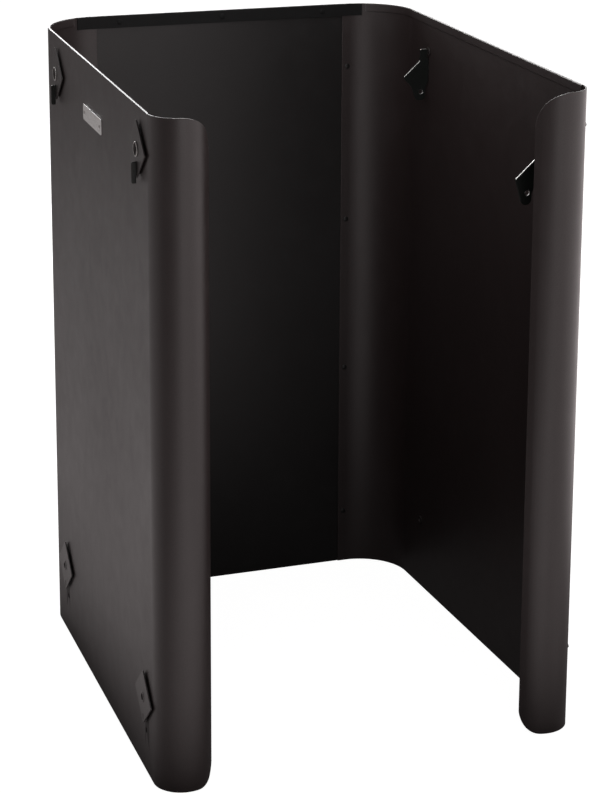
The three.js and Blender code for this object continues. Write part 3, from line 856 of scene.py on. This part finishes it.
def spacer_plate(tag, key):
    """Diamond plate with a rivet hole and a slot under it."""
    upper = key.startswith("upper")
    width, height, radius = DIAMOND_HALF_W, DIAMOND_HALF_H, DIAMOND_R
    outline = fillet([(width, 0, radius), (0, height, radius),
                      (-width, 0, radius), (0, -height, radius)], steps=6)
    holes = [circle(RIVET_HOLE_R, 36), slot_outline(**(UPPER_SLOT if upper else LOWER_SLOT))]
    stand_off = Matrix.Translation(((STAND_OFF + PLATE_T / 2) * MM, 0, 0))
    plate = sheet_piece(f"plate_{tag}_{key}", outline, holes, PLATE_T, 0.28,
                        plate_frame(tag, key) @ stand_off @ FACE)
    smooth(plate)
    finish_piece(plate, f"spacer_plate_{tag}_{key}", "plate_paint" if upper else "plate_light",
                 "frame" if upper else f"plate_{tag}_{key}")


def hollow_rivet(tag, key):
    upper = key.startswith("upper")
    flange = 8.2 if upper else 6.2
    bore = 2.6 if upper else 3.3
    if upper:  # wide dished face inside a narrow rolled rim
        mouth = [
            (bore + 0.02, -0.1), (bore + 0.12, 0.15), (3.2, 0.28), (flange - 2.4, 0.34),
            (flange - 1.9, 0.5), (flange - 1.65, 0.9), (flange - 1.45, 1.25),
            (flange - 1.1, 1.46), (flange - 0.75, 1.5), (flange - 0.38, 1.38),
            (flange - 0.1, 1.08), (flange, 0.7), (flange - 0.06, 0.35), (flange - 0.3, 0.1)]
    else:  # low flange with a rounded mouth
        mouth = [
            (bore + 0.02, 0.2), (bore + 0.12, 0.5), (bore + 0.35, 0.72), (bore + 0.7, 0.85),
            (flange - 1.2, 0.88), (flange - 0.6, 0.78), (flange - 0.2, 0.56),
            (flange, 0.3), (flange - 0.1, 0.1)]
    mouth.append((4.0, 0.1))
    rolled_end = [
        (4.0, -0.1), (5.6, -0.1), (5.95, -0.25), (6.0, -0.6), (5.8, -1.0), (5.2, -1.42),
        (4.5, -1.6), (bore + 0.9, -1.58), (bore + 0.3, -1.4), (bore + 0.02, -1.0), (bore, -0.4)]
    profile = [(radius, PLATE_FACE + x) for radius, x in mouth]
    profile += [(radius, WALL_INSIDE + x) for radius, x in rolled_end]
    profile.append((bore, PLATE_FACE - 0.6))
    place = plate_frame(tag, key)
    rivet = turned_piece(f"rivet_hollow_{tag}_{key}", profile, 56, place)
    finish_piece(rivet, f"hollow_rivet_{tag}_{key}", "zinc" if upper else "plate_light")
    # painted shade: the bore, the face or mouth around it and the end inside the wall are
    # coloured dark
    rivet.data.materials.append(MATERIALS["dark"])
    painted_shade_r = flange - 1.55 if upper else bore + 1.1

    def is_painted_shade(centre, normal):
        return math.hypot(centre.y, centre.z) < painted_shade_r or centre.x < WALL_INSIDE + 0.05

    paint_faces(rivet, place, is_painted_shade)


def standoff_washer(tag, key):
    """Flat ring between the wall and the plate, with rounded edges."""
    low, high, hole, rim = 0.12, STAND_OFF - 0.12, RIVET_HOLE_R, 7.0
    edge, shoulder = 0.25, 0.08
    profile = [
        (hole, low + edge), (hole + shoulder, low + shoulder), (hole + edge, low),
        (rim - edge, low), (rim - shoulder, low + shoulder), (rim, low + edge),
        (rim, high - edge), (rim - shoulder, high - shoulder), (rim - edge, high),
        (hole + edge, high), (hole + shoulder, high - shoulder), (hole, high - edge)]
    washer = turned_piece(f"washer_{tag}_{key}", profile, 48, plate_frame(tag, key))
    finish_piece(washer, f"standoff_washer_{tag}_{key}", "zinc")


# Hook outlines as corners (outward, up, radius), in the plate frame
HOOK_BACK = WALL_INSIDE - 0.3
HOOK_OUT = PLATE_FACE + 0.3
HOOK_TAB = [
    (HOOK_OUT, -13.5, 0.8), (HOOK_OUT + 5.2, -13.5, 1.6), (HOOK_OUT + 5.2, -36.5, 2.0),
    (HOOK_OUT, -36.5, 0.8), (HOOK_OUT, -26.5, 0.3), (HOOK_BACK, -26.5, 0.3)]
HOOK_ARMS = {
    "front": [
        (HOOK_BACK, -38, 2.0), (-12, -41, 6), (-39, -66, 6), (-44.2, -81, 4),
        (-45.2, -94.0, 6.4), (-56.6, -94.2, 6.4), (-60.2, -80, 4), (-64.5, -66.5, 3),
        (-64.0, -63.6, 1.2), (-10, -14.5, 4), (-10, 6, 1.8), (-3.7, 6, 1.6)],
    "rear": [
        (HOOK_BACK, -36, 1.5), (-5.2, -44, 3), (-5.9, -60.2, 5.6), (-18.0, -60.2, 5.6),
        (-24, -43, 3), (-34.2, -32, 1.6), (-33.8, -29.3, 1.0), (-13.2, -10.6, 3),
        (-13.2, 4, 1.8), (-3.7, 4, 1.6)],
}
HOOK_NECK = [(-3.7, -7.6, 0.3), (HOOK_BACK, -7.6, 0.3), (HOOK_BACK, -13.5, 0.3)]
HOOK_EYES = {"front": (-50, -80.5), "rear": (-11.6, -49.5)}
HOOK_EYE_R = 2.7


def hook(tag, key):
    """Upright fin through the wall and plate: a tab outside, an arm with an eye inside."""
    outline = fillet(HOOK_TAB + HOOK_ARMS[key] + HOOK_NECK, steps=5)
    eye_x, eye_z = HOOK_EYES[key]
    place = plate_frame(tag, "upper_" + key)
    eye = circle(HOOK_EYE_R, 28, eye_x, eye_z)
    fin = sheet_piece(f"hook_{tag}_{key}_fine", outline, [eye], 2.0, 0.35, place @ FIN)
    smooth(fin)
    finish_piece(fin, f"hook_{tag}_{key}", "hook_black")
    # edges inside the wall carry a painted highlight in bright steel on their upper side and in
    # the eye
    fin.data.materials.append(MATERIALS["hook_edge"])

    def is_painted_highlight(centre, normal):
        in_eye = math.hypot(centre.x - eye_x, centre.z - eye_z) < HOOK_EYE_R + 0.5
        return centre.x < -5 and abs(normal.y) < 0.75 and (normal.z > 0.35 or in_eye)

    paint_faces(fin, place, is_painted_highlight)


for tag in ("right", "left"):
    for key in PLATE_KEYS:
        spacer_plate(tag, key)
        hollow_rivet(tag, key)
        standoff_washer(tag, key)
    for key in ("rear", "front"):
        hook(tag, key)

# ---------------------------------------------------------------- badge
BADGE_HALF_W, BADGE_HALF_H, BADGE_R, BADGE_T = 44, 9, 3.0, 1.0


def badge_pin(k, place):
    """Domed pin through badge and wall, with a collar inside."""
    face = BADGE_T / 2
    inside = -face - SHEET
    profile = [(radius, face + x) for radius, x in (
        (0, 0.9), (0.7, 0.86), (1.3, 0.74), (1.8, 0.5), (2.1, 0.25), (2.2, 0.12),
        (2.1, 0.1), (1.2, 0.1))]
    profile += [(radius, inside - x) for radius, x in (
        (1.2, 0.15), (1.8, 0.15), (1.9, 0.3), (1.75, 0.6), (1.2, 0.75), (0, 0.75))]
    finish_piece(turned_piece(f"pin_badge_{k}", profile, 28, place), f"badge_pin_{k}", "zinc")


def badge():
    """Plate on the left wall with its two pins."""
    place = plate_frame("left", "upper_front")
    place.translation = box_centre("badge_plate")
    inverse = place.inverted()
    pins = [(inverse @ box_centre(f"badge_pin_{k}")).y / MM for k in (1, 2)]
    width, height, radius = BADGE_HALF_W, BADGE_HALF_H, BADGE_R
    outline = fillet([(width, height, radius), (-width, height, radius),
                      (-width, -height, radius), (width, -height, radius)], steps=8)
    holes = [circle(PIN_HOLE_R, 24, pin, 0) for pin in pins]
    blank = sheet_piece("badge_blank", outline, holes, BADGE_T, 0.3, place @ FACE)
    smooth(blank)
    finish_piece(blank, "badge_plate", "badge_metal")
    for k, pin in enumerate(pins, start=1):
        pin_place = place.copy()
        pin_place.translation = place @ Vector((0, pin * MM, 0))
        badge_pin(k, pin_place)


badge()


# ---------------------------------------------------------------- stage (metres)
def mirrored_glow(nodes):
    """Strength of the floor's glow as other surfaces see it. Each area is the
    product of a ramp along X and a ramp along Y, (position, level)."""
    position = nodes.output("NewGeometry", socket="Position")
    axes = nodes.add_node("SeparateXYZ", {0: position})
    x, y = axes.outputs[0], axes.outputs[1]
    areas = [
        # left of the shield
        ([(-0.42, 1.0), (-0.25, 0.0)],
         [(-0.5, 0.10), (0.0, 0.53), (0.4, 0.49), (1.1, 0.28), (1.9, 0.15), (2.8, 0.03)]),
        # right
        ([(0.6, 0.0), (1.1, 1.0)],
         [(-2.4, 0.8), (-0.8, 1.6), (0.2, 1.65)]),
        # just in front
        ([(-0.9, 0.0), (-0.35, 0.8), (0.05, 1.0), (0.25, 0.45), (0.45, 0.8), (0.75, 0.0)],
         [(-2.6, 0.5), (-0.58, 1.5), (-0.31, 0.0)]),
        # far in front
        ([(-0.5, 0.0), (0.0, 1.0)],
         [(-3.6, 1.6), (-2.6, 0.0)]),
    ]
    left, right, near, far = [nodes.multiply(nodes.ramp(x, across), nodes.ramp(y, along))
                              for across, along in areas]
    return nodes.add(nodes.add(left, right), nodes.add(near, far))


def floor_material():
    """Pale and bright to the camera; grey with glowing areas to all other rays."""
    material = bpy.data.materials.new("pale_floor")
    nodes = Nodes(material)
    cloud = nodes.noise(nodes.coords(), scale=3.0, detail=3.0, roughness=0.5)
    pale = nodes.mix(nodes.remap(cloud, span=(0.3, 0.7)), (0.34, 0.34, 0.34), (0.36, 0.36, 0.36))
    seen = nodes.output("AddShader", {
        0: nodes.output("BsdfDiffuse", {"Color": pale}),
        1: nodes.output("Emission", {"Strength": 0.93})})
    grey = nodes.output("BsdfDiffuse", {"Color": (0.30, 0.29, 0.29)})
    glow = nodes.output("Emission", {"Color": (1.0, 0.915, 0.915),
                                     "Strength": mirrored_glow(nodes)})
    mirrored = nodes.output("AddShader", {0: grey, 1: glow})
    to_camera = nodes.output("LightPath", socket="Is Camera Ray")
    surface = nodes.output("MixShader", {"Fac": to_camera, 1: mirrored, 2: seen})
    nodes.add_node("OutputMaterial", {"Surface": surface})
    return material


def add_floor():
    bm = bmesh.new()
    bmesh.ops.create_grid(bm, x_segments=2, y_segments=2, size=20.0)
    floor = new_object("floor", bm)
    floor.location = (0, 0, cad_box[0][2] - 0.0004)
    floor.data.materials.append(floor_material())


def add_world():
    """White to the camera; a low even surround with two brighter sides as lighting."""
    world = bpy.data.worlds.new("world")
    bpy.context.scene.world = world
    nodes = Nodes(world)
    way = nodes.output("TexCoord", socket="Generated")

    def lobe(direction, amount):
        towards = Vector(direction).normalized()
        dot = nodes.output("VectorMath", {0: way, 1: towards}, socket="Value",
                           operation="DOT_PRODUCT")
        return nodes.remap(dot, span=(0.2, 1.0), to=(0.0, amount))

    lobes = nodes.add(lobe((-0.6, 0.8, 0.1), amount=0.2), lobe((0.95, 0.2, 0.05), amount=0.9))
    even_level = 0.25
    light = nodes.output("Background", {"Color": (1.0, 0.95, 0.945),
                                        "Strength": nodes.add(lobes, even_level)})
    seen = nodes.output("Background", {"Color": (1, 1, 1), "Strength": 1.05})
    to_camera = nodes.output("LightPath", socket="Is Camera Ray")
    surface = nodes.output("MixShader", {"Fac": to_camera, 1: light, 2: seen})
    nodes.add_node("OutputWorld", {"Surface": surface})


def area_light(name, location, target, size, power, colour=(1, 1, 1)):
    light = bpy.data.lights.new(name, "AREA")
    light.energy = power
    light.color = colour
    light.shape = "RECTANGLE"
    light.size = size
    light.size_y = size
    ob = bpy.data.objects.new(name, light)
    bpy.context.scene.collection.objects.link(ob)
    ob.visible_camera = False
    ob.location = location
    aim = Vector(target) - Vector(location)
    ob.rotation_euler = aim.to_track_quat("-Z", "Y").to_euler()


add_floor()
add_world()
area_light("front", location=(-0.2, -2.0, 0.6), target=(0.1, 0, 0.35), size=0.8, power=2.5,
           colour=(1.0, 0.95, 0.945))
area_light("left", location=(-2.6, 2.0, 0.3), target=(-0.2, 0, 0.2), size=1.0, power=3,
           colour=(1.0, 0.93, 0.92))
area_light("behind", location=(0.9, 2.8, 1.6), target=(0, 0, 0.7), size=1.3, power=40)
area_light("behind_high", location=(-0.1, 2.6, 1.35), target=(0.2, 0, 0.7), size=0.8, power=20)
area_light("above", location=(-0.06, 0.0, 0.98), target=(0.2, 0.1, 0.68), size=0.5, power=1.5)

# ---------------------------------------------------------------- camera
YAW, PITCH, ROLL = (math.radians(angle) for angle in (-22.245, 15.334, 1.169))
CAMERA_PLACE = Vector((-0.94629, -2.50599 - OFFSET_Y * MM, 1.33983))


def add_camera():
    backward = Vector((math.sin(YAW) * math.cos(PITCH), -math.cos(YAW) * math.cos(PITCH),
                       math.sin(PITCH)))
    right = Vector((math.cos(YAW), math.sin(YAW), 0))
    up = backward.cross(right)
    rolled_right = right * math.cos(ROLL) + up * math.sin(ROLL)
    rolled_up = up * math.cos(ROLL) - right * math.sin(ROLL)
    camera = bpy.data.cameras.new("camera")
    ob = bpy.data.objects.new("camera", camera)
    bpy.context.scene.collection.objects.link(ob)
    matrix = Matrix((rolled_right, rolled_up, backward)).transposed().to_4x4()
    matrix.translation = CAMERA_PLACE
    ob.matrix_world = matrix
    camera.sensor_fit = "AUTO"
    camera.sensor_width = 36.0
    camera.lens = 119.408323
    camera.shift_x = -0.18199243
    camera.shift_y = -0.19696091
    camera.clip_start = 0.05
    camera.clip_end = 100
    bpy.context.scene.camera = ob


add_camera()
view = bpy.context.scene.view_settings
view.view_transform = "Standard"
view.look = "None"
view.exposure = 0.0
view.gamma = 1.0
